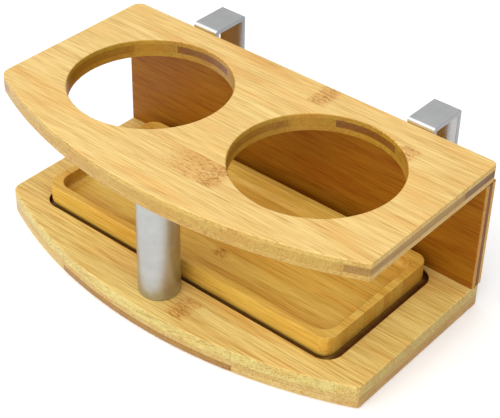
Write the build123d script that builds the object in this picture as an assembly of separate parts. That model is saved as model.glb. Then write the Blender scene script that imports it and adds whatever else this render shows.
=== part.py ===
from build123d import *
import math
import os

# Two-ring hanging stand in laminated bamboo.
# A bowed top board with two round holders stands over a bowed base board.
# A back panel joins them along the rear edge and a metal post joins them at
# the front. A lift-out tray sits in a shallow pocket in the base, and two
# strap hooks screwed to the back hang the stand over a panel edge.
#
# Frame: millimetres, +X to the right, -Y to the front, +Z up.
# Origin: centre of the overall width and depth, on the underside of the base.

# ---------------------------------------------------------------- dimensions
length = 280.0              # boards and back panel, along X
end_depth = 121.0           # straight ends of the boards
bow = 31.5                  # how far the front edge bows out past the ends
hook_outer_depth = 29.0     # hooks, outside to outside, behind the boards
y_back = (end_depth + bow - hook_outer_depth) / 2.0   # rear face, +61.75

base_thk = 16.0
top_thk = 12.0
bay_height = 75.0           # clear height between the two boards
z_top_under = base_thk + bay_height
z_top = z_top_under + top_thk

corner_r = 2.5              # plan corners of the boards, front right
corner_rear_right_r = 4.0
corner_rear_left_r = 6.0
corner_front_left_r = 8.5
edge_r = 1.0                # eased edges of the boards

panel_thk = 10.0
panel_edge_r = 0.8

ring_r = 50.8               # 4 inch holders
ring_x = 64.0
ring_y = y_back - 68.7
ring_edge_r = 1.0           # upper edge of the holes
ring_under_edge_r = 0.4     # lower edge, only just broken

post_r = 12.7               # 1 inch bar
post_y = y_back - 131.4
post_chamfer = 0.4

pocket_depth = 4.0
pocket_gap = 2.8            # all round the tray
pocket_corner_r = 11.3

tray_len = 227.4
tray_wid = 99.0
tray_h = 16.5
tray_wall = 5.1
tray_floor = 6.8
tray_corner_r = 8.5
tray_inner_corner_r = 10.2
tray_inner_floor_r = 4.0
tray_rim_r = 0.6
tray_bottom_r = 5.2
tray_x = -1.2               # lies towards the left of its pocket
tray_y = y_back - 65.1      # tray centre

strap_w = 19.0
strap_t = 3.2
strap_bend_in = 0.8         # tight bends, coined sharp outside
strap_bend_out = 1.8
strap_edge_r = 0.35         # broken edges
hook_left_x = -81.5
hook_right_x = 86.4
hook_top_z = z_top + 2.6
hook_near_len = 55.0        # leg on the back of the stand
hook_far_len = 40.0         # leg behind the hanging edge
hook_screw_z = (hook_top_z - 17.0, hook_top_z - 44.0)

csk_head_r = 3.6
csk_depth = 2.2

dowel_r = 3.0
dowel_in_top = 8.0
dowel_in_panel = 16.0
dowel_x = (-122.0, -41.0, 41.0, 122.0)

base_screw_x = (-110.0, -37.0, 37.0, 110.0)
base_screw_len = 36.0

os.makedirs("parts", exist_ok=True)


# ------------------------------------------------------------------- helpers
def board(thk):
    """Bowed board standing on z = 0: straight back and ends, arc front."""
    h = length / 2.0
    y_end = y_back - end_depth
    with BuildPart() as bp:
        with BuildSketch():
            with BuildLine():
                Polyline((-h, y_end), (-h, y_back), (h, y_back), (h, y_end))
                ThreePointArc((h, y_end), (0.0, y_end - bow), (-h, y_end))
            make_face()
        extrude(amount=thk)
        for sx, sy, r in ((1, -1, corner_r), (1, 1, corner_rear_right_r),
                          (-1, 1, corner_rear_left_r),
                          (-1, -1, corner_front_left_r)):
            corner = [e for e in bp.edges().filter_by(Axis.Z)
                      if abs(e.center().X - sx * h) < 0.01
                      and abs(e.center().Y - (y_back if sy > 0 else y_end)) < 0.01]
            fillet(corner, radius=r)
        rims = bp.edges().group_by(Axis.Z)
        fillet(rims[0] + rims[-1], radius=edge_r)
    return bp.part


def rounded_block(lx, ly, lz, r):
    """Block with rounded plan corners, centred in X and Y, from z = 0 up."""
    with BuildPart() as bp:
        with BuildSketch():
            RectangleRounded(lx, ly, r)
        extrude(amount=lz)
    return bp.part


def turned(points):
    """Solid turned about Z from (radius, height) points."""
    with BuildPart() as bp:
        with BuildSketch(Plane.XZ):
            with BuildLine():
                Polyline(*points, close=True)
            make_face()
        revolve(axis=Axis.Z)
    return bp.part


def wood_screw(shank_r, total, head_r, head_h, thread_from, recess_r=1.7):
    """Countersunk screw along +Z: head face at z = 0, point at z = total.

    The thread is a stack of shallow ridges that reach shank_r."""
    core = shank_r * 0.72
    pts = [(0.0, 0.0), (head_r, 0.0), (head_r, 0.25), (shank_r, head_h),
           (shank_r, thread_from)]
    pitch = 1.5
    z = thread_from
    tip = 2.6 * shank_r * 0.9
    while z + pitch < total - tip:
        pts += [(core, z + 0.25 * pitch), (core, z + 0.75 * pitch),
                (shank_r, z + pitch)]
        z += pitch
    pts += [(core, z + 0.4), (core, total - tip), (0.0, total)]
    body = turned(pts)
    # crossed drive recess
    arm = Box(recess_r * 2.0, 0.9, 1.6, align=(Align.CENTER, Align.CENTER, Align.MIN))
    body -= arm
    body -= Rot(0, 0, 90) * arm
    return body


def wood_screw_hole(shank_r, total, head_r, head_h, recess=0.0):
    """Room for wood_screw, with the same outer size."""
    tip = 2.6 * shank_r * 0.9
    return turned([(0.0, -recess), (head_r, -recess), (head_r, 0.25),
                   (shank_r, head_h), (shank_r, total - tip), (0.0, total)])


def at(x, y, z):
    return Pos(x, y, z)


# -------------------------------------------------------------- hook geometry
def hook(x_mid):
    """Square-cornered U strap: near leg on the stand's back, open below."""
    y0 = y_back
    y1 = y_back + hook_outer_depth
    zt = hook_top_z
    r_out = strap_bend_out
    with BuildPart() as bp:
        with BuildSketch(Plane.YZ.offset(x_mid - strap_w / 2.0)):
            with BuildLine():
                Polyline(
                    (y0, zt - hook_near_len), (y0, zt), (y1, zt),
                    (y1, zt - hook_far_len), (y1 - strap_t, zt - hook_far_len),
                    (y1 - strap_t, zt - strap_t), (y0 + strap_t, zt - strap_t),
                    (y0 + strap_t, zt - hook_near_len), close=True)
            make_face()
        extrude(amount=strap_w)
        along_x = bp.edges().filter_by(Axis.X)
        outer = [e for e in along_x if abs(e.center().Z - zt) < 0.01]
        inner = [e for e in along_x
                 if abs(e.center().Z - (zt - strap_t)) < 0.01]
        fillet(outer, radius=r_out)
        fillet(inner, radius=strap_bend_in)
        # rounded corners at the free ends of both legs
        ends = [e for e in bp.edges().filter_by(Axis.Y)
                if e.center().Z < zt - 20.0 and abs(e.length - strap_t) < 0.05]
        fillet(ends, radius=3.0)
        # broken long edges on both sides of the strap
        sides = bp.faces().group_by(Axis.X)
        rim = [e for f in sides[0] + sides[-1] for e in f.edges()]
        fillet(rim, radius=strap_edge_r)
    return bp.part


hook_screw_r = 2.0
hook_screw_len = 12.0


def screw_to_front(x, z, solid):
    """Turn a +Z screw so that its head is at the hook's inner face and its
    point is towards the front of the stand."""
    return at(x, y_back + strap_t, z) * Rot(90, 0, 0) * solid


# ------------------------------------------------------------------ top board
top_board = at(0, 0, z_top_under) * board(top_thk)
for sx in (-1, 1):
    top_board -= at(sx * ring_x, ring_y, z_top_under + top_thk / 2.0) * \
        Cylinder(ring_r, top_thk + 4.0)
ring_edges = [e for e in top_board.edges().filter_by(GeomType.CIRCLE)
              if abs(e.radius - ring_r) < 0.01]
under = [e for e in ring_edges if e.center().Z < z_top_under + top_thk / 2.0]
top_board = fillet([e for e in ring_edges if e not in under], radius=ring_edge_r)
under = [e for e in top_board.edges().filter_by(GeomType.CIRCLE)
         if abs(e.radius - ring_r) < 0.01
         and abs(e.center().Z - z_top_under) < 0.01]
top_board = fillet(under, radius=ring_under_edge_r)

# ----------------------------------------------------------------- base board
base_board = board(base_thk)
pocket = rounded_block(tray_len + 2 * pocket_gap, tray_wid + 2 * pocket_gap,
                       pocket_depth + 1.0, pocket_corner_r)
base_board -= at(0, tray_y, base_thk - pocket_depth) * pocket
pocket_lip = [e for e in base_board.edges()
              if abs(e.center().Z - base_thk) < 0.01
              and abs(e.center().X) <= tray_len / 2.0 + pocket_gap + 0.1
              and abs(e.center().Y - tray_y) <= tray_wid / 2.0 + pocket_gap + 0.1]
base_board = fillet(pocket_lip, radius=0.5)

# ----------------------------------------------------------------- back panel
back_panel = at(0, y_back - panel_thk / 2.0, base_thk + bay_height / 2.0) * \
    Box(length, panel_thk, bay_height)
back_panel = fillet(back_panel.edges().filter_by(Axis.Z), radius=panel_edge_r)

# -------------------------------------------------------------- dowels (glued)
dowel_len = dowel_in_top + dowel_in_panel
dowel = Cylinder(dowel_r, dowel_len, align=(Align.CENTER, Align.CENTER, Align.MIN))
dowel = chamfer(dowel.edges().filter_by(GeomType.CIRCLE), length=0.8)
panel_dowels = []
for x in dowel_x:
    z0 = z_top_under - dowel_in_panel
    place = at(x, y_back - panel_thk / 2.0, z0)
    panel_dowels.append(place * dowel)
    hole = place * at(0, 0, -0.5) * Cylinder(
        dowel_r + 0.02, dowel_len + 1.0,
        align=(Align.CENTER, Align.CENTER, Align.MIN))
    back_panel -= hole
    top_board -= hole

# ----------------------------------------- screws from the base into the panel
base_screw = wood_screw(2.0, base_screw_len, 4.0, 2.4, base_thk - 2.0, 2.0)
base_screw_hole = wood_screw_hole(2.02, base_screw_len + 0.3, 4.05, 2.45, 1.0)
panel_base_screws = []
for x in base_screw_x:
    place = at(x, y_back - panel_thk / 2.0, 0.0)
    panel_base_screws.append(place * at(0, 0, 0.15) * base_screw)
    base_board -= place * at(0, 0, 0.1) * base_screw_hole
    back_panel -= place * at(0, 0, 0.1) * base_screw_hole

# ------------------------------------------------------------------ front post
support_post = at(0, post_y, base_thk) * Cylinder(
    post_r, bay_height, align=(Align.CENTER, Align.CENTER, Align.MIN))
support_post = chamfer(support_post.edges().filter_by(GeomType.CIRCLE),
                       length=post_chamfer)
m6_r = 3.0
# tapped holes in both ends, drilled with a cone at the bottom
tap_low = turned([(0, -1.0), (m6_r + 0.03, -1.0), (m6_r + 0.03, 18.0), (0, 19.7)])
tap_high = turned([(0, bay_height + 1.0), (m6_r + 0.03, bay_height + 1.0),
                   (m6_r + 0.03, bay_height - 14.0), (0, bay_height - 15.7)])
support_post -= at(0, post_y, base_thk) * tap_low
support_post -= at(0, post_y, base_thk) * tap_high

# double-ended stud: machine thread in the post, wood thread in the top board
stud_post_len = 12.0
stud_wood_len = 9.0
stud_pts = [(0, -stud_post_len), (m6_r - 0.6, -stud_post_len)]
z = -stud_post_len + 0.6
while z < -1.2:
    stud_pts += [(m6_r, z), (m6_r, z + 0.25), (m6_r - 0.45, z + 0.62)]
    z += 1.0
stud_pts += [(m6_r, -0.6), (m6_r, 0.8), (m6_r - 0.8, 1.2)]
z = 1.6
while z < stud_wood_len - 3.4:
    stud_pts += [(m6_r - 0.8, z), (m6_r, z + 0.75), (m6_r - 0.8, z + 1.3)]
    z += 1.9
stud_pts += [(m6_r - 0.8, stud_wood_len - 2.6), (0, stud_wood_len)]
post_top_stud = at(0, post_y, z_top_under) * turned(stud_pts)
stud_hole = turned([(0, -0.5), (m6_r + 0.02, -0.5),
                    (m6_r + 0.02, stud_wood_len - 2.4),
                    (0, stud_wood_len + 0.3)])
top_board -= at(0, post_y, z_top_under) * stud_hole

# socket screw and washer from under the base, sunk in a counterbore
cbore_r = 8.5
cbore_depth = 7.6
washer_t = 1.5
head_r = 5.0
head_h = 5.0
base_board -= at(0, post_y, -1.0) * Cylinder(
    cbore_r, cbore_depth + 1.0, align=(Align.CENTER, Align.CENTER, Align.MIN))
base_board -= at(0, post_y, -1.0) * Cylinder(
    m6_r + 0.25, base_thk + 2.0, align=(Align.CENTER, Align.CENTER, Align.MIN))
cb_lip = [e for e in base_board.edges().filter_by(GeomType.CIRCLE)
          if abs(e.radius - cbore_r) < 0.01 and abs(e.center().Z) < 0.01]
base_board = chamfer(cb_lip, length=0.4)

washer = Cylinder(8.0, washer_t, align=(Align.CENTER, Align.CENTER, Align.MIN))
washer -= at(0, 0, -1) * Cylinder(m6_r + 0.2, washer_t + 2,
                                  align=(Align.CENTER, Align.CENTER, Align.MIN))
washer = chamfer(washer.edges().filter_by(GeomType.CIRCLE), length=0.15)
post_washer = at(0, post_y, cbore_depth - washer_t) * washer

z_head = cbore_depth - washer_t          # underside of the screw head
screw_end = base_thk + 16.0              # end of the screw inside the post
sp = [(0, z_head - head_h), (head_r - 0.5, z_head - head_h),
      (head_r, z_head - head_h + 0.5), (head_r, z_head), (m6_r, z_head),
      (m6_r, base_thk + 1.0)]
z = base_thk + 1.0
while z < screw_end - 1.6:
    sp += [(m6_r - 0.45, z + 0.4), (m6_r, z + 0.8), (m6_r, z + 1.0)]
    z += 1.0
sp += [(m6_r - 0.7, screw_end), (0, screw_end)]
post_screw = turned(sp)
hex_key = extrude(RegularPolygon(2.9, 6), amount=3.2)
post_screw -= at(0, 0, z_head - head_h - 0.01) * hex_key
post_bottom_screw = at(0, post_y, 0) * post_screw

# ------------------------------------------------------------------ lift tray
tray = rounded_block(tray_len, tray_wid, tray_h, tray_corner_r)
tray = fillet(tray.edges().group_by(Axis.Z)[0], radius=tray_bottom_r)
inner = rounded_block(tray_len - 2 * tray_wall, tray_wid - 2 * tray_wall,
                      tray_h, tray_inner_corner_r)
inner = fillet(inner.edges().group_by(Axis.Z)[0], radius=tray_inner_floor_r)
tray -= at(0, 0, tray_floor) * inner
tray = fillet(tray.edges().group_by(Axis.Z)[-1], radius=tray_rim_r)
lift_tray = at(tray_x, tray_y, base_thk - pocket_depth) * tray

# ----------------------------------------------------------------- strap hooks
hook_screw = wood_screw(hook_screw_r, hook_screw_len, csk_head_r, csk_depth, 3.2, 1.7)
hook_screw_hole = wood_screw_hole(hook_screw_r + 0.02, hook_screw_len + 0.3,
                                  csk_head_r + 0.05, csk_depth + 0.05, 1.0)
hooks = {}
hook_screws = {}
for side, xm in (("left", hook_left_x), ("right", hook_right_x)):
    strap = hook(xm)
    group = []
    for zs in hook_screw_z:
        hole = screw_to_front(xm, zs, at(0, 0, 0.1) * hook_screw_hole)
        strap -= hole
        if zs > z_top_under:
            top_board -= hole
        else:
            back_panel -= hole
        group.append(screw_to_front(xm, zs, at(0, 0, 0.15) * hook_screw))
    hooks[side] = strap
    hook_screws[side] = group

# --------------------------------------------------------------------- output
nodes = {
    "top_board": top_board,
    "base_board": base_board,
    "back_panel": back_panel,
    "lift_tray": lift_tray,
    "support_post": support_post,
    "post_top_stud": post_top_stud,
    "post_bottom_screw": post_bottom_screw,
    "post_washer": post_washer,
    "hook_left": hooks["left"],
    "hook_right": hooks["right"],
    "hook_screws_left": Compound(children=hook_screws["left"]),
    "hook_screws_right": Compound(children=hook_screws["right"]),
    "panel_dowels": Compound(children=panel_dowels),
    "panel_base_screws": Compound(children=panel_base_screws),
}
for name, shape in nodes.items():
    shape.label = name
    export_step(shape, f"parts/{name}.step")
    print(name, len(shape.solids()), round(shape.volume, 1))
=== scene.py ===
import bpy, math
from mathutils import Vector, Matrix

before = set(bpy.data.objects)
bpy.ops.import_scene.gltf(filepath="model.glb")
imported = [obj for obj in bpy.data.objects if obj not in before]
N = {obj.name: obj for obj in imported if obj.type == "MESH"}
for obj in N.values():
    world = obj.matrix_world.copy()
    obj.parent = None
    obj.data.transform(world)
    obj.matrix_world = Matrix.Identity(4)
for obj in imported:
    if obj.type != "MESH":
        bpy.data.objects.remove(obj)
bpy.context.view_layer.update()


# ------------------------------------------------------------------ helpers
def lin(r, g, b):
    def f(c):
        c = c / 255.0
        return c / 12.92 if c <= 0.04045 else ((c + 0.055) / 1.055) ** 2.4
    return (f(r), f(g), f(b))


class Tree:
    """Short names for building a node tree."""

    def __init__(self, nt):
        self.nt = nt

    def new(self, kind, **props):
        n = self.nt.nodes.new(kind)
        for k, v in props.items():
            setattr(n, k, v)
        return n

    def put(self, socket, value):
        if value is None:
            return
        if isinstance(value, bpy.types.NodeSocket):
            self.nt.links.new(value, socket)
        else:
            socket.default_value = value

    def m(self, op, a, b=None, c=None, clamp=False):
        n = self.new("ShaderNodeMath", operation=op, use_clamp=clamp)
        self.put(n.inputs[0], a)
        self.put(n.inputs[1], b)
        self.put(n.inputs[2], c)
        return n.outputs[0]

    def vec(self, x, y, z):
        n = self.new("ShaderNodeCombineXYZ")
        for s, v in zip(n.inputs, (x, y, z)):
            self.put(s, v)
        return n.outputs[0]

    def noise(self, vec, scale=1.0, detail=2.0, rough=0.5, dist=0.0):
        n = self.new("ShaderNodeTexNoise")
        self.put(n.inputs["Vector"], vec)
        n.inputs["Scale"].default_value = scale
        n.inputs["Detail"].default_value = detail
        n.inputs["Roughness"].default_value = rough
        n.inputs["Distortion"].default_value = dist
        return n.outputs["Fac"]

    def cells(self, vec, scale=1.0, rnd=1.0):
        n = self.new("ShaderNodeTexVoronoi", feature="F1")
        self.put(n.inputs["Vector"], vec)
        n.inputs["Scale"].default_value = scale
        n.inputs["Randomness"].default_value = rnd
        return n.outputs["Distance"]

    def step(self, v, lo, hi, out_lo=0.0, out_hi=1.0):
        """Smooth step from lo to hi."""
        n = self.new("ShaderNodeMapRange", interpolation_type="SMOOTHSTEP", clamp=True)
        self.put(n.inputs["Value"], v)
        n.inputs["From Min"].default_value = lo
        n.inputs["From Max"].default_value = hi
        n.inputs["To Min"].default_value = out_lo
        n.inputs["To Max"].default_value = out_hi
        return n.outputs["Result"]

    def ramp(self, fac, stops, kind="LINEAR"):
        n = self.new("ShaderNodeValToRGB")
        r = n.color_ramp
        r.interpolation = kind
        while len(r.elements) > 1:
            r.elements.remove(r.elements[-1])
        r.elements[0].position = stops[0][0]
        r.elements[0].color = (*stops[0][1], 1)
        for p, c in stops[1:]:
            e = r.elements.new(p)
            e.color = (*c, 1)
        self.put(n.inputs[0], fac)
        return n.outputs["Color"]

    def mix(self, fac, a, b, blend="MIX"):
        n = self.new("ShaderNodeMix", data_type="RGBA", blend_type=blend, clamp_factor=True)
        self.put(n.inputs[0], fac)
        for s, v in ((n.inputs[6], a), (n.inputs[7], b)):
            self.put(s, v if isinstance(v, bpy.types.NodeSocket) else (*v, 1))
        return n.outputs[2]

    def mixf(self, fac, a, b):
        n = self.new("ShaderNodeMix", data_type="FLOAT", clamp_factor=True)
        self.put(n.inputs[0], fac)
        self.put(n.inputs[2], a)
        self.put(n.inputs[3], b)
        return n.outputs[0]

    def split(self, v):
        n = self.new("ShaderNodeSeparateXYZ")
        self.put(n.inputs[0], v)
        return n.outputs

    def splitc(self, v):
        n = self.new("ShaderNodeSeparateColor")
        self.put(n.inputs[0], v)
        return n.outputs

    def bump(self, height, distance, strength=1.0, normal=None):
        n = self.new("ShaderNodeBump")
        n.inputs["Strength"].default_value = strength
        n.inputs["Distance"].default_value = distance
        self.put(n.inputs["Height"], height)
        self.put(n.inputs["Normal"], normal)
        return n.outputs["Normal"]


def material(name):
    m = bpy.data.materials.new(name)
    m.use_nodes = True
    nt = m.node_tree
    nt.nodes.clear()
    out = nt.nodes.new("ShaderNodeOutputMaterial")
    b = nt.nodes.new("ShaderNodeBsdfPrincipled")
    nt.links.new(b.outputs[0], out.inputs[0])
    return m, Tree(nt), b


def object_mm(T):
    """Object coordinates in millimetres."""
    tc = T.new("ShaderNodeTexCoord")
    s = T.split(tc.outputs["Object"])
    return [T.m("MULTIPLY", s[i], 1000.0) for i in range(3)]


# ------------------------------------------------------------------ bamboo
# One ply: strips side by side, each with its own tone, its own fibres and its
# own node (the knuckle of the cane).  along / across / thick are sockets in mm.
# strips: (start_mm, (r, g, b) tone multiplier, node position mm or None, halo mm)
def ply(T, along, across, thick, span, strips, base, seed, fibre=1.0):
    lo, hi = span
    t = T.m("DIVIDE", T.m("SUBTRACT", across, lo), hi - lo, clamp=True)
    pos = lambda s: min(max((s - lo) / (hi - lo), 0.0), 1.0)
    tone = T.ramp(t, [(pos(s[0]), tuple(0.5 * c for c in s[1])) for s in strips], "CONSTANT")
    info = T.ramp(t, [(pos(s[0]), ((s[2] + 200) / 400 if s[2] is not None else 0.0,
                                   ((i * 0.618034 + seed * 0.37) % 1.0),
                                   (s[3] if s[2] is not None else 0.0) / 100.0))
                      for i, s in enumerate(strips)], "CONSTANT")
    inf = T.splitc(info)
    shift = T.m("MULTIPLY", inf[1], 211.0)
    node_at = T.m("SUBTRACT", T.m("MULTIPLY", inf[0], 400.0), 200.0)

    # slow wander, so that no fibre is ruler straight
    wander = T.noise(T.vec(T.m("MULTIPLY", along, 1 / 55.0), T.m("ADD", T.m("MULTIPLY", across, 1 / 30.0), shift), T.m("MULTIPLY", thick, 1 / 30.0)), detail=1.0)
    ac = T.m("ADD", across, T.m("MULTIPLY", T.m("SUBTRACT", wander, 0.5), 0.9))
    ac = T.m("ADD", ac, shift)
    th = T.m("ADD", thick, T.m("MULTIPLY", shift, 0.37))

    def v(L, W):
        return T.vec(T.m("MULTIPLY", along, 1.0 / L), T.m("MULTIPLY", ac, 1.0 / W), T.m("MULTIPLY", th, 1.0 / W))

    bundles = T.cells(v(28.0, 0.80))                      # vascular bundles: long dashes, dots on end grain
    lines = T.step(bundles, 0.34, 0.10)
    fine = T.noise(v(30.0, 0.42), detail=2.0, rough=0.6)
    streak = T.noise(v(75.0, 2.6), detail=2.0, rough=0.55)
    patch = T.noise(v(70.0, 16.0), detail=1.0, rough=0.5)
    gate = T.step(streak, 0.40, 0.66)

    col = T.mix(1.0, base, T.mix(1.0, tone, (2, 2, 2), "MULTIPLY"), "MULTIPLY")
    # broad warm and cool drift
    col = T.mix(T.step(patch, 0.42, 0.70), col, T.mix(1.0, col, (1.00, 0.90, 0.80), "MULTIPLY"))
    col = T.mix(T.step(patch, 0.50, 0.28), col, T.mix(1.0, col, (1.03, 1.05, 1.10), "MULTIPLY"))
    # streaks and fibres
    col = T.mix(T.m("MULTIPLY", gate, 0.75 * fibre), col, T.mix(1.0, col, (0.90, 0.82, 0.70), "MULTIPLY"))
    col = T.mix(T.m("MULTIPLY", T.step(fine, 0.50, 0.62), 0.9 * fibre, clamp=True), col, T.mix(1.0, col, (0.76, 0.64, 0.46), "MULTIPLY"))
    dash = T.m("MULTIPLY", lines, T.mixf(gate, 0.35, 1.0))
    col = T.mix(T.m("MULTIPLY", dash, 0.80 * fibre, clamp=True), col, T.mix(1.0, col, (0.64, 0.48, 0.30), "MULTIPLY"))
    col = T.mix(T.m("MULTIPLY", T.step(fine, 0.44, 0.34), 0.7), col, T.mix(1.0, col, (1.10, 1.12, 1.16), "MULTIPLY"))

    # node of the cane
    wob = T.noise(T.vec(T.m("MULTIPLY", ac, 1 / 5.0), T.m("MULTIPLY", th, 1 / 5.0), 3.1), detail=2.0)
    d = T.m("ADD", T.m("SUBTRACT", along, node_at), T.m("MULTIPLY", T.m("SUBTRACT", wob, 0.5), 7.0))
    has = T.m("GREATER_THAN", inf[0], 0.01)
    near = T.m("MULTIPLY", has, T.step(T.m("ABSOLUTE", d), 7.5, 2.0))
    specks = T.cells(T.vec(T.m("MULTIPLY", along, 1 / 2.3), T.m("MULTIPLY", ac, 1 / 1.15), T.m("MULTIPLY", th, 1 / 1.15)))
    clump = T.noise(T.vec(T.m("MULTIPLY", along, 1 / 7.0), T.m("MULTIPLY", ac, 1 / 4.0), T.m("MULTIPLY", th, 1 / 4.0)), detail=1.0)
    speck = T.m("MULTIPLY", T.m("MULTIPLY", T.step(specks, 0.46, 0.20), near), T.step(clump, 0.36, 0.56))
    ridge = T.m("MULTIPLY", T.m("MULTIPLY", has, T.step(T.m("ABSOLUTE", d), 0.9, 0.1)), T.step(clump, 0.40, 0.60))
    flecks = T.step(T.cells(T.vec(T.m("MULTIPLY", along, 1 / 3.6), T.m("MULTIPLY", ac, 1 / 0.95), T.m("MULTIPLY", th, 1 / 0.95))), 0.50, 0.24)
    hl = T.m("MAXIMUM", T.m("MULTIPLY", inf[2], 100.0), 1.0)
    halo = T.m("MULTIPLY", has, T.m("MULTIPLY", T.step(T.m("DIVIDE", d, hl), -1.0, -0.45), T.step(d, 9.0, 2.0)))
    col = T.mix(T.m("MULTIPLY", halo, 0.80), col, T.mix(1.0, col, (0.90, 0.77, 0.64), "MULTIPLY"))
    col = T.mix(T.m("MULTIPLY", T.m("MULTIPLY", flecks, halo), 0.75), col, T.mix(1.0, col, (0.62, 0.42, 0.24), "MULTIPLY"))
    col = T.mix(T.m("MULTIPLY", near, 0.20), col, T.mix(1.0, col, (0.88, 0.76, 0.58), "MULTIPLY"))
    col = T.mix(T.m("MULTIPLY", T.m("MAXIMUM", speck, T.m("MULTIPLY", ridge, 0.6)), 0.80), col, T.mix(1.0, col, (0.50, 0.32, 0.16), "MULTIPLY"))

    height = T.m("SUBTRACT", T.m("MULTIPLY", fine, 0.35), T.m("MULTIPLY", dash, 0.55))
    height = T.m("SUBTRACT", height, T.m("MULTIPLY", speck, 1.2))
    height = T.m("ADD", height, T.m("MULTIPLY", near, 0.5))
    return col, height, dash


def strip_set(lo, hi, pitch, offset, tones, nodes=None, halos=None, seed=0):
    """Even strips from lo to hi.  tones: {index: rgb}; nodes: {index: mm}."""
    first = math.floor((lo - offset) / pitch)
    out = []
    k = first
    while offset + k * pitch < hi:
        s = offset + k * pitch
        r = (math.sin((k + 3.7 + seed) * 12.9898) * 43758.5453) % 1.0
        q = (math.sin((k + 9.1 + seed) * 78.233) * 12543.123) % 1.0
        tone = tones.get(k) if tones and k in tones else (0.985 + 0.045 * (r - 0.5), 0.97 + 0.08 * (r - 0.5) + 0.03 * (q - 0.5), 0.94 + 0.16 * (r - 0.5) + 0.08 * (q - 0.5))
        nd = (nodes or {}).get(k)
        hl = (halos or {}).get(k, 10.0)
        out.append((max(s, lo), tone, nd, hl))
        k += 1
    return out


def seam_line(T, across, pitch, offset, half=0.10):
    """1 on the glue line between two strips."""
    f = T.m("PINGPONG", T.m("SUBTRACT", across, offset), pitch / 2.0)
    return T.step(f, half * 2.2, half * 0.6)


def bamboo(name, along, across, thick, layers, finish, extra=None):
    """layers: list from low to high thickness:
       (top_mm or None, 'along'|'cross', span, strips, base colour, seed, fibre, pitch, offset)"""
    mat, T, b = material(name)
    P = object_mm(T)
    u, v, w = P[along], P[across], P[thick]
    wav = T.noise(T.vec(T.m("MULTIPLY", u, 1 / 9.0), T.m("MULTIPLY", v, 1 / 9.0), T.m("MULTIPLY", w, 1 / 9.0)), detail=1.0)
    ww = T.m("ADD", w, T.m("MULTIPLY", T.m("SUBTRACT", wav, 0.5), 0.35))
    col = height = dash = None
    prev_top = None
    for top, kind, span, strips, base, seed, fibre, pitch, offset in layers:
        if kind == "along":
            c, h, ds = ply(T, u, v, w, span, strips, base, seed, fibre)
            sm = seam_line(T, v, pitch, offset) if pitch else None
        else:
            c, h, ds = ply(T, v, u, w, span, strips, base, seed, fibre)
            sm = seam_line(T, u, pitch, offset) if pitch else None
        if sm is not None:
            c = T.mix(T.m("MULTIPLY", sm, 0.42 if kind == "along" else 0.14), c, T.mix(1.0, c, (0.62, 0.46, 0.30), "MULTIPLY"))
            h = T.m("SUBTRACT", h, T.m("MULTIPLY", sm, 0.8))
        if col is None:
            col, height, dash = c, h, ds
        else:
            f = T.step(ww, prev_top - 0.06, prev_top + 0.06)
            glue = T.step(T.m("ABSOLUTE", T.m("SUBTRACT", ww, prev_top)), 0.20, 0.05)
            col = T.mix(f, col, c)
            col = T.mix(T.m("MULTIPLY", glue, 0.40), col, T.mix(1.0, col, (0.55, 0.40, 0.26), "MULTIPLY"))
            height = T.m("SUBTRACT", T.mixf(f, height, h), T.m("MULTIPLY", glue, 0.5))
            dash = T.mixf(f, dash, ds)
        prev_top = top
    # end grain drinks the lacquer: the ends of the fibres are darker and duller
    g = T.new("ShaderNodeNewGeometry")
    vt = T.new("ShaderNodeVectorTransform", vector_type="NORMAL", convert_from="WORLD", convert_to="OBJECT")
    T.put(vt.inputs[0], g.outputs["True Normal"])
    nrm = T.split(vt.outputs[0])
    endg = T.step(T.m("ABSOLUTE", nrm[along]), finish.get("end_lo", 0.55), 0.95)
    if extra:
        col = extra(T, P, col)
    if "edge" in finish:
        eg = T.step(T.m("ABSOLUTE", nrm[across]), 0.60, 0.90)
        col = T.mix(eg, col, T.mix(1.0, col, finish["edge"], "MULTIPLY"))
        dots = T.step(T.cells(T.vec(T.m("MULTIPLY", u, 1 / 1.7), T.m("MULTIPLY", v, 1 / 1.1), T.m("MULTIPLY", w, 1 / 0.8))), 0.42, 0.20)
        some = T.step(T.noise(T.vec(T.m("MULTIPLY", u, 1 / 14.0), T.m("MULTIPLY", v, 1 / 8.0), T.m("MULTIPLY", w, 1 / 3.0)), detail=2.0), 0.42, 0.60)
        col = T.mix(T.m("MULTIPLY", T.m("MULTIPLY", dots, eg), some), col, T.mix(1.0, col, (0.66, 0.50, 0.32), "MULTIPLY"))
    # painted shade: the optional 'face' tint darkens every non-end face of a board (only the back panel has one)
    side = T.mix(1.0, col, finish["face"], "MULTIPLY") if "face" in finish else col
    col = T.mix(endg, side, T.mix(1.0, col, finish["end"], "MULTIPLY"))
    smudge = T.noise(T.vec(T.m("MULTIPLY", u, 1 / 38.0), T.m("MULTIPLY", v, 1 / 30.0), T.m("MULTIPLY", w, 1 / 30.0)), detail=3.0, rough=0.6)
    r0, r1 = finish["rough"]
    rough = T.m("ADD", T.mixf(T.step(smudge, 0.35, 0.68), r0, r1), T.m("MULTIPLY", dash, 0.10))
    rough = T.m("ADD", rough, T.m("MULTIPLY", endg, 0.14))
    T.put(b.inputs["Base Color"], col)
    T.put(b.inputs["Roughness"], rough)
    b.inputs["IOR"].default_value = 1.48
    b.inputs["Coat Weight"].default_value = finish.get("coat", 0.12)
    b.inputs["Coat Roughness"].default_value = 0.22
    b.inputs["Specular IOR Level"].default_value = finish.get("spec", 0.40)
    T.put(b.inputs["Normal"], T.bump(height, 0.00006, finish.get("bump", 0.55)))
    return mat


HONEY = lin(233, 200, 126)
CORE = lin(222, 186, 106)


def band(T, v, lo, hi, soft=0.15):
    """1 between lo and hi."""
    return T.m("MULTIPLY", T.step(v, lo - soft, lo + soft), T.step(v, hi + soft, hi - soft))


def shade(T, mask, col, by):
    return T.mix(mask, col, T.mix(1.0, col, by, "MULTIPLY"))


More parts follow.
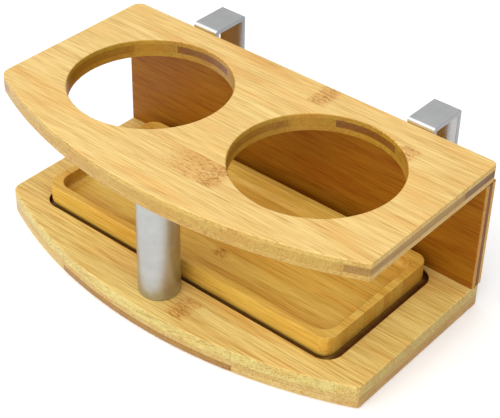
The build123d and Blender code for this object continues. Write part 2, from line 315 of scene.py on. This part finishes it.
def top_extra(T, P, col):
    """Darker blocks in the core behind the holes, and painted shade with warm bounce light on the holes' walls."""
    x, y, z = P
    core = band(T, z, 95.0, 99.7)
    blocks = T.m("MULTIPLY", band(T, T.m("ABSOLUTE", x), 42.4, 84.8), T.step(y, -31.0, -29.0))
    col = shade(T, T.m("MULTIPLY", core, blocks), col, (0.54, 0.38, 0.24))
    outer = T.m("MULTIPLY", core, T.step(T.m("ABSOLUTE", x), 126.9, 127.1))
    col = shade(T, outer, col, (0.72, 0.66, 0.62))
    col = shade(T, T.m("MULTIPLY", outer, T.step(y, 27.5, 28.5)), col, (0.54, 0.46, 0.32))
    dx = T.m("SUBTRACT", T.m("ABSOLUTE", x), 64.0)
    dy = T.m("ADD", y, 6.95)
    r = T.m("SQRT", T.m("ADD", T.m("MULTIPLY", dx, dx), T.m("MULTIPLY", dy, dy)))
    wall = T.step(r, 51.5, 50.95)
    more = T.m("MAXIMUM", band(T, x, 0.0, 21.2), band(T, x, -127.2, -106.0))
    col = shade(T, T.m("MULTIPLY", T.m("MULTIPLY", core, more), wall), col, (0.84, 0.76, 0.64))
    # painted shade: the holes' walls are painted darker and warmer, standing in for the shade and warm bounce light
    # inside the holes
    return shade(T, wall, col, (0.74, 0.62, 0.20))


def base_extra(T, P, col):
    """Painted shade in the tray's pocket: darker inside, and much darker near its wall."""
    x, y, z = P
    inx = T.m("LESS_THAN", T.m("ABSOLUTE", x), 116.7)
    iny = T.m("LESS_THAN", T.m("ABSOLUTE", T.m("ADD", y, 3.35)), 52.5)
    low = T.m("MULTIPLY", T.step(z, 15.6, 15.0), T.m("GREATER_THAN", z, 11.5))
    low = T.m("MULTIPLY", T.m("MULTIPLY", inx, iny), low)
    rim = T.m("MAXIMUM", T.step(T.m("ABSOLUTE", x), 108.0, 113.0), T.step(T.m("ABSOLUTE", T.m("ADD", y, 3.35)), 44.0, 49.0))
    # painted shade: the whole pocket (floor and lower walls) is painted darker, and much darker near its wall, for the
    # shade in the gap round and under the tray
    col = shade(T, low, col, (0.72, 0.58, 0.44))
    return shade(T, T.m("MULTIPLY", low, rim), col, (0.26, 0.15, 0.09))


# top board: three plies, 91..95 / 95..99.7 / 99.7..103 mm
SP = 21.2
T0 = 61.75
top_nodes = {-1: 25.0, -2: 96.0, -6: 31.0}
top_halo = {-1: 9.0, -2: 9.0, -6: 42.0}
top_tones = {-1: (0.99, 0.965, 0.93), -2: (1.0, 0.99, 0.98), -3: (1.0, 1.0, 1.0), -4: (1.0, 1.005, 1.02), -5: (1.0, 0.99, 0.97),
             -6: (0.985, 0.965, 0.93), -7: (1.0, 0.995, 0.98), -8: (1.0, 0.97, 0.93)}
core_tones = {}
for k, c in {-7: (0.93, 0.88, 0.80), -6: (1.02, 1.0, 0.95), -5: (1.04, 1.02, 0.95), -4: (0.98, 0.94, 0.86), -3: (1.0, 0.96, 0.88),
             -2: (0.95, 0.90, 0.80), -1: (1.0, 0.96, 0.90), 0: (0.86, 0.74, 0.60), 1: (1.04, 1.02, 0.96), 2: (0.98, 0.94, 0.87),
             3: (0.99, 0.95, 0.88), 4: (0.98, 0.94, 0.86), 5: (0.90, 0.84, 0.76), 6: (0.72, 0.60, 0.50)}.items():
    core_tones[k] = tuple(1.0 + 0.35 * (v - 1.0) for v in c)
mat_top = bamboo("bamboo_top", 0, 1, 2, [
    (95.0, "along", (-92, 63), strip_set(-92, 63, SP, T0, {}, None, None, 5), lin(226, 190, 118), 7, 0.9, SP, T0),
    (99.7, "cross", (-142, 142), strip_set(-142, 142, SP, 0.0, core_tones, None, None, 2), CORE, 3, 1.0, SP, 0.0),
    (None, "along", (-92, 63), strip_set(-92, 63, SP, T0, top_tones, top_nodes, top_halo, 0), HONEY, 1, 1.0, SP, T0),
], {"rough": (0.36, 0.46), "end": (0.72, 0.71, 0.56), "edge": (0.72, 0.70, 0.46), "coat": 0.10}, top_extra)

# base board: bottom ply 0..5, core 5..8.2, top ply 8.2..16
BP, B0 = 18.6, 9.3
base_nodes = {-5: 24.0}
base_tones = {-6: (1.0, 0.985, 0.95), -5: (0.99, 0.98, 0.96), -4: (1.0, 0.99, 0.98), -3: (0.99, 0.96, 0.90), -2: (0.97, 0.94, 0.88), -1: (0.99, 0.96, 0.92), 0: (0.98, 0.95, 0.90)}
low_tones = {-6: (0.58, 0.42, 0.22), -5: (0.98, 0.95, 0.88), -4: (0.92, 0.84, 0.74), -3: (0.90, 0.80, 0.66), -2: (0.86, 0.74, 0.58), -1: (0.90, 0.80, 0.68),
             0: (0.84, 0.72, 0.56), 1: (0.92, 0.82, 0.70), 2: (0.86, 0.76, 0.62)}
mat_base = bamboo("bamboo_base", 0, 1, 2, [
    (5.0, "along", (-92, 63), strip_set(-92, 63, BP, B0, low_tones, None, None, 11), lin(228, 192, 120), 13, 1.0, BP, B0),
    (8.2, "cross", (-142, 142), strip_set(-142, 142, SP, 6.0, {}, None, None, 4), lin(222, 184, 112), 17, 1.0, SP, 6.0),
    (None, "along", (-92, 63), strip_set(-92, 63, BP, B0, base_tones, base_nodes, None, 1), lin(230, 204, 124), 19, 1.25, BP, B0),
], {"rough": (0.38, 0.48), "end": (0.68, 0.69, 0.60), "edge": (0.82, 0.90, 0.92), "coat": 0.08}, base_extra)

# back panel: grain along X, strips stacked in Z, plies through Y (front face y = 51.75)
# painted shade: the 'face' tint paints the whole panel much darker and more orange, standing in for the shade under the
# top board and the dim light behind the panel
mat_panel = bamboo("bamboo_panel", 0, 2, 1, [
    (55.0, "along", (15, 92), strip_set(15, 92, 19.4, 16.0, {}, None, None, 21), lin(206, 160, 84), 23, 1.6, 19.4, 16.0),
    (58.4, "cross", (-142, 142), strip_set(-142, 142, SP, 11.0, {6: (0.55, 0.45, 0.42)}, None, None, 22), lin(172, 134, 88), 29, 1.0, SP, 11.0),
    (None, "along", (15, 92), strip_set(15, 92, 19.4, 16.0, {}, None, None, 24), lin(216, 176, 104), 31, 1.0, 19.4, 16.0),
], {"rough": (0.40, 0.50), "end": (0.88, 0.86, 0.84), "face": (0.56, 0.40, 0.09), "coat": 0.0, "spec": 0.15})

# tray: narrow strips along X, carved from one laminated block
tray_y0 = -3.35 - 49.5
widths = [5.4, 7.2, 6.1, 6.8, 7.9, 5.6, 6.4, 7.4, 5.9, 6.9, 6.2, 7.7, 6.0, 7.1, 6.4]
tray_tones = [(1.0, 0.97, 0.86), (1.03, 1.06, 1.10), (0.95, 0.88, 0.74), (1.0, 1.0, 0.98), (1.04, 1.08, 1.14), (0.96, 0.90, 0.78), (1.0, 0.98, 0.92), (1.03, 1.05, 1.08),
              (0.93, 0.86, 0.72), (1.0, 1.0, 1.0), (1.02, 1.04, 1.08), (0.95, 0.90, 0.80), (1.01, 1.0, 0.96), (0.97, 0.92, 0.84), (1.02, 1.04, 1.05)]
ts, y = [], tray_y0 - 0.5
for i, wd in enumerate(widths):
    ts.append((y, tray_tones[i], {4: 7.0}.get(i), 6.0))
    y += wd
mat_tray = bamboo("bamboo_tray", 0, 1, 2, [
    (None, "along", (tray_y0 - 0.5, tray_y0 + 101), ts, lin(225, 187, 88), 37, 1.0, None, 0.0),
], {"rough": (0.36, 0.46), "end": (0.70, 0.62, 0.44), "coat": 0.08, "spec": 0.30})

# dowel pins: pale birch, grain along the pin
mat_dowel, T, b = material("dowel_wood")
P = object_mm(T)
f1 = T.noise(T.vec(T.m("MULTIPLY", P[0], 1 / 0.7), T.m("MULTIPLY", P[1], 1 / 0.7), T.m("MULTIPLY", P[2], 1 / 18.0)), detail=3.0, rough=0.6)
T.put(b.inputs["Base Color"], T.ramp(f1, [(0.3, lin(206, 172, 122)), (0.7, lin(232, 206, 164))]))
b.inputs["Roughness"].default_value = 0.62
T.put(b.inputs["Normal"], T.bump(f1, 0.00008, 0.5))


# ------------------------------------------------------------------ metals
def metal(name, colour, rough, brushed=None, brush_depth=0.3, mottle=0.04, cut=None):
    """brushed: mm along which the lines run on (x, y, z); long = along the line."""
    m, T, b = material(name)
    P = object_mm(T)
    lines = T.noise(T.vec(*[T.m("MULTIPLY", P[i], 1.0 / brushed[i]) for i in range(3)]), detail=3.0, rough=0.7)
    cloud = T.noise(T.vec(*[T.m("MULTIPLY", P[i], 1.0 / 11.0) for i in range(3)]), detail=3.0, rough=0.6)
    grit = T.noise(T.vec(*[T.m("MULTIPLY", P[i], 1.0 / 0.6) for i in range(3)]), detail=2.0, rough=0.6)
    c = T.mix(T.step(cloud, 0.35, 0.65), tuple(x * (1 - mottle) for x in colour), tuple(min(x * (1 + mottle), 1) for x in colour))
    c = T.mix(T.m("MULTIPLY", T.step(lines, 0.52, 0.72), 0.35), c, T.mix(1.0, c, (0.86, 0.86, 0.87), "MULTIPLY"))
    if cut is not None:                                   # sheared edges of the strap are duller
        g = T.new("ShaderNodeNewGeometry")
        vt = T.new("ShaderNodeVectorTransform", vector_type="NORMAL", convert_from="WORLD", convert_to="OBJECT")
        T.put(vt.inputs[0], g.outputs["True Normal"])
        sheared = T.step(T.m("ABSOLUTE", T.split(vt.outputs[0])[cut]), 0.70, 0.90)
        c = T.mix(sheared, c, T.mix(1.0, c, (0.42, 0.42, 0.43), "MULTIPLY"))
    T.put(b.inputs["Base Color"], c)
    b.inputs["Metallic"].default_value = 1.0
    r = T.m("ADD", T.mixf(T.step(cloud, 0.3, 0.7), rough[0], rough[1]), T.m("MULTIPLY", T.m("SUBTRACT", lines, 0.5), 0.10))
    T.put(b.inputs["Roughness"], r)
    h = T.m("ADD", T.m("MULTIPLY", lines, 0.7), T.m("MULTIPLY", grit, 0.3))
    T.put(b.inputs["Normal"], T.bump(h, 0.00004, brush_depth))
    return m


mat_post = metal("post_satin_aluminium", (0.47, 0.475, 0.465), (0.34, 0.42), brushed=(0.35, 0.35, 9.0), brush_depth=0.35, mottle=0.05)
mat_hook = metal("hook_polished_steel", (0.74, 0.74, 0.74), (0.13, 0.20), brushed=(0.30, 14.0, 14.0), brush_depth=0.16, mottle=0.03, cut=0)
mat_screw = metal("screw_steel", (0.56, 0.56, 0.57), (0.22, 0.32), brushed=(0.5, 0.5, 0.5), brush_depth=0.2, mottle=0.06)

table = {"top_board": mat_top, "base_board": mat_base, "back_panel": mat_panel, "lift_tray": mat_tray,
         "support_post": mat_post, "hook_left": mat_hook, "hook_right": mat_hook, "panel_dowels": mat_dowel}
for n, o in N.items():
    o.data.materials.clear()
    o.data.materials.append(table.get(n, mat_screw))

# ------------------------------------------------------------------ stage
bpy.ops.mesh.primitive_plane_add(size=9, location=(0, 0, -0.0004))
floor = bpy.context.object
floor.name = "floor"
mf, T, b = material("floor_white")
b.inputs["Base Color"].default_value = (0.93, 0.93, 0.93, 1)
b.inputs["Roughness"].default_value = 0.95
b.inputs["Specular IOR Level"].default_value = 0.0
b.inputs["Emission Color"].default_value = (1, 1, 1, 1)
b.inputs["Emission Strength"].default_value = 0.12
floor.data.materials.append(mf)

# camera: the photograph's viewing angle
az, el, ro = math.radians(39.51), math.radians(36.92), math.radians(1.35)
back = Vector((math.sin(az) * math.cos(el), -math.cos(az) * math.cos(el), math.sin(el)))
right = Vector((math.cos(az), math.sin(az), 0))
up = back.cross(right)
r2 = math.cos(ro) * right + math.sin(ro) * up
u2 = -math.sin(ro) * right + math.cos(ro) * up
cam = bpy.data.cameras.new("camera")
co = bpy.data.objects.new("camera", cam)
bpy.context.collection.objects.link(co)
co.matrix_world = Matrix(((r2.x, u2.x, back.x, 0.43645), (r2.y, u2.y, back.y, -0.57831 + 0.06175), (r2.z, u2.z, back.z, 0.54322), (0, 0, 0, 1)))
cam.sensor_width = 36
cam.lens = 1375.93 * 36 / 500
cam.clip_end = 50
scene = bpy.context.scene
scene.camera = co
scene.view_settings.view_transform = "Standard"
scene.view_settings.look = "None"

# soft studio light: from overhead and the front, dim behind
world = bpy.data.worlds.new("studio")
scene.world = world
world.use_nodes = True
W = Tree(world.node_tree)
world.node_tree.nodes.clear()
wo = W.new("ShaderNodeOutputWorld")
d = W.split(W.new("ShaderNodeTexCoord").outputs["Generated"])
top = W.step(d[2], 0.05, 0.9)
left = W.step(W.m("ADD", W.m("MULTIPLY", d[0], -0.80), W.m("MULTIPLY", d[1], -0.60)), 0.0, 0.9)
behind = W.step(d[1], 0.1, 0.9)
lev = W.m("ADD", W.m("MULTIPLY", top, 0.60), W.m("MULTIPLY", left, 0.10))
front = W.step(W.m("ADD", W.m("MULTIPLY", d[1], -0.80), W.m("MULTIPLY", d[2], 0.60)), 0.2, 1.0)
lev = W.m("ADD", lev, W.m("MULTIPLY", front, 0.45))
lev = W.m("SUBTRACT", W.m("ADD", lev, 0.44), W.m("MULTIPLY", behind, 0.26))
bg = W.new("ShaderNodeBackground")
bg.inputs[0].default_value = (0.985, 0.992, 1.0, 1)
W.put(bg.inputs[1], lev)
white = W.new("ShaderNodeBackground")
white.inputs[0].default_value = (1, 1, 1, 1)
white.inputs[1].default_value = 1.1
lp = W.new("ShaderNodeLightPath")
ms = W.new("ShaderNodeMixShader")
W.put(ms.inputs[0], lp.outputs["Is Camera Ray"])
W.put(ms.inputs[1], bg.outputs[0])
W.put(ms.inputs[2], white.outputs[0])
W.put(wo.inputs[0], ms.outputs[0])


def area(name, loc, target, size, power, col=(1, 1, 1)):
    l = bpy.data.lights.new(name, "AREA")
    l.size = size
    l.energy = power
    l.color = col
    o = bpy.data.objects.new(name, l)
    bpy.context.collection.objects.link(o)
    o.location = loc
    o.rotation_euler = (Vector(target) - Vector(loc)).to_track_quat("-Z", "Y").to_euler()


area("key_top", (0.15, -0.75, 1.2), (0, 0, 0.05), 1.7, 5.0, (1.0, 0.985, 0.96))
area("fill_left", (-1.1, -0.9, 0.75), (0, 0, 0.05), 0.7, 1.5, (0.97, 0.985, 1.0))
area("fill_front", (0.3, -1.6, 0.75), (0, 0, 0.05), 0.9, 2.0, (1.0, 0.99, 0.97))
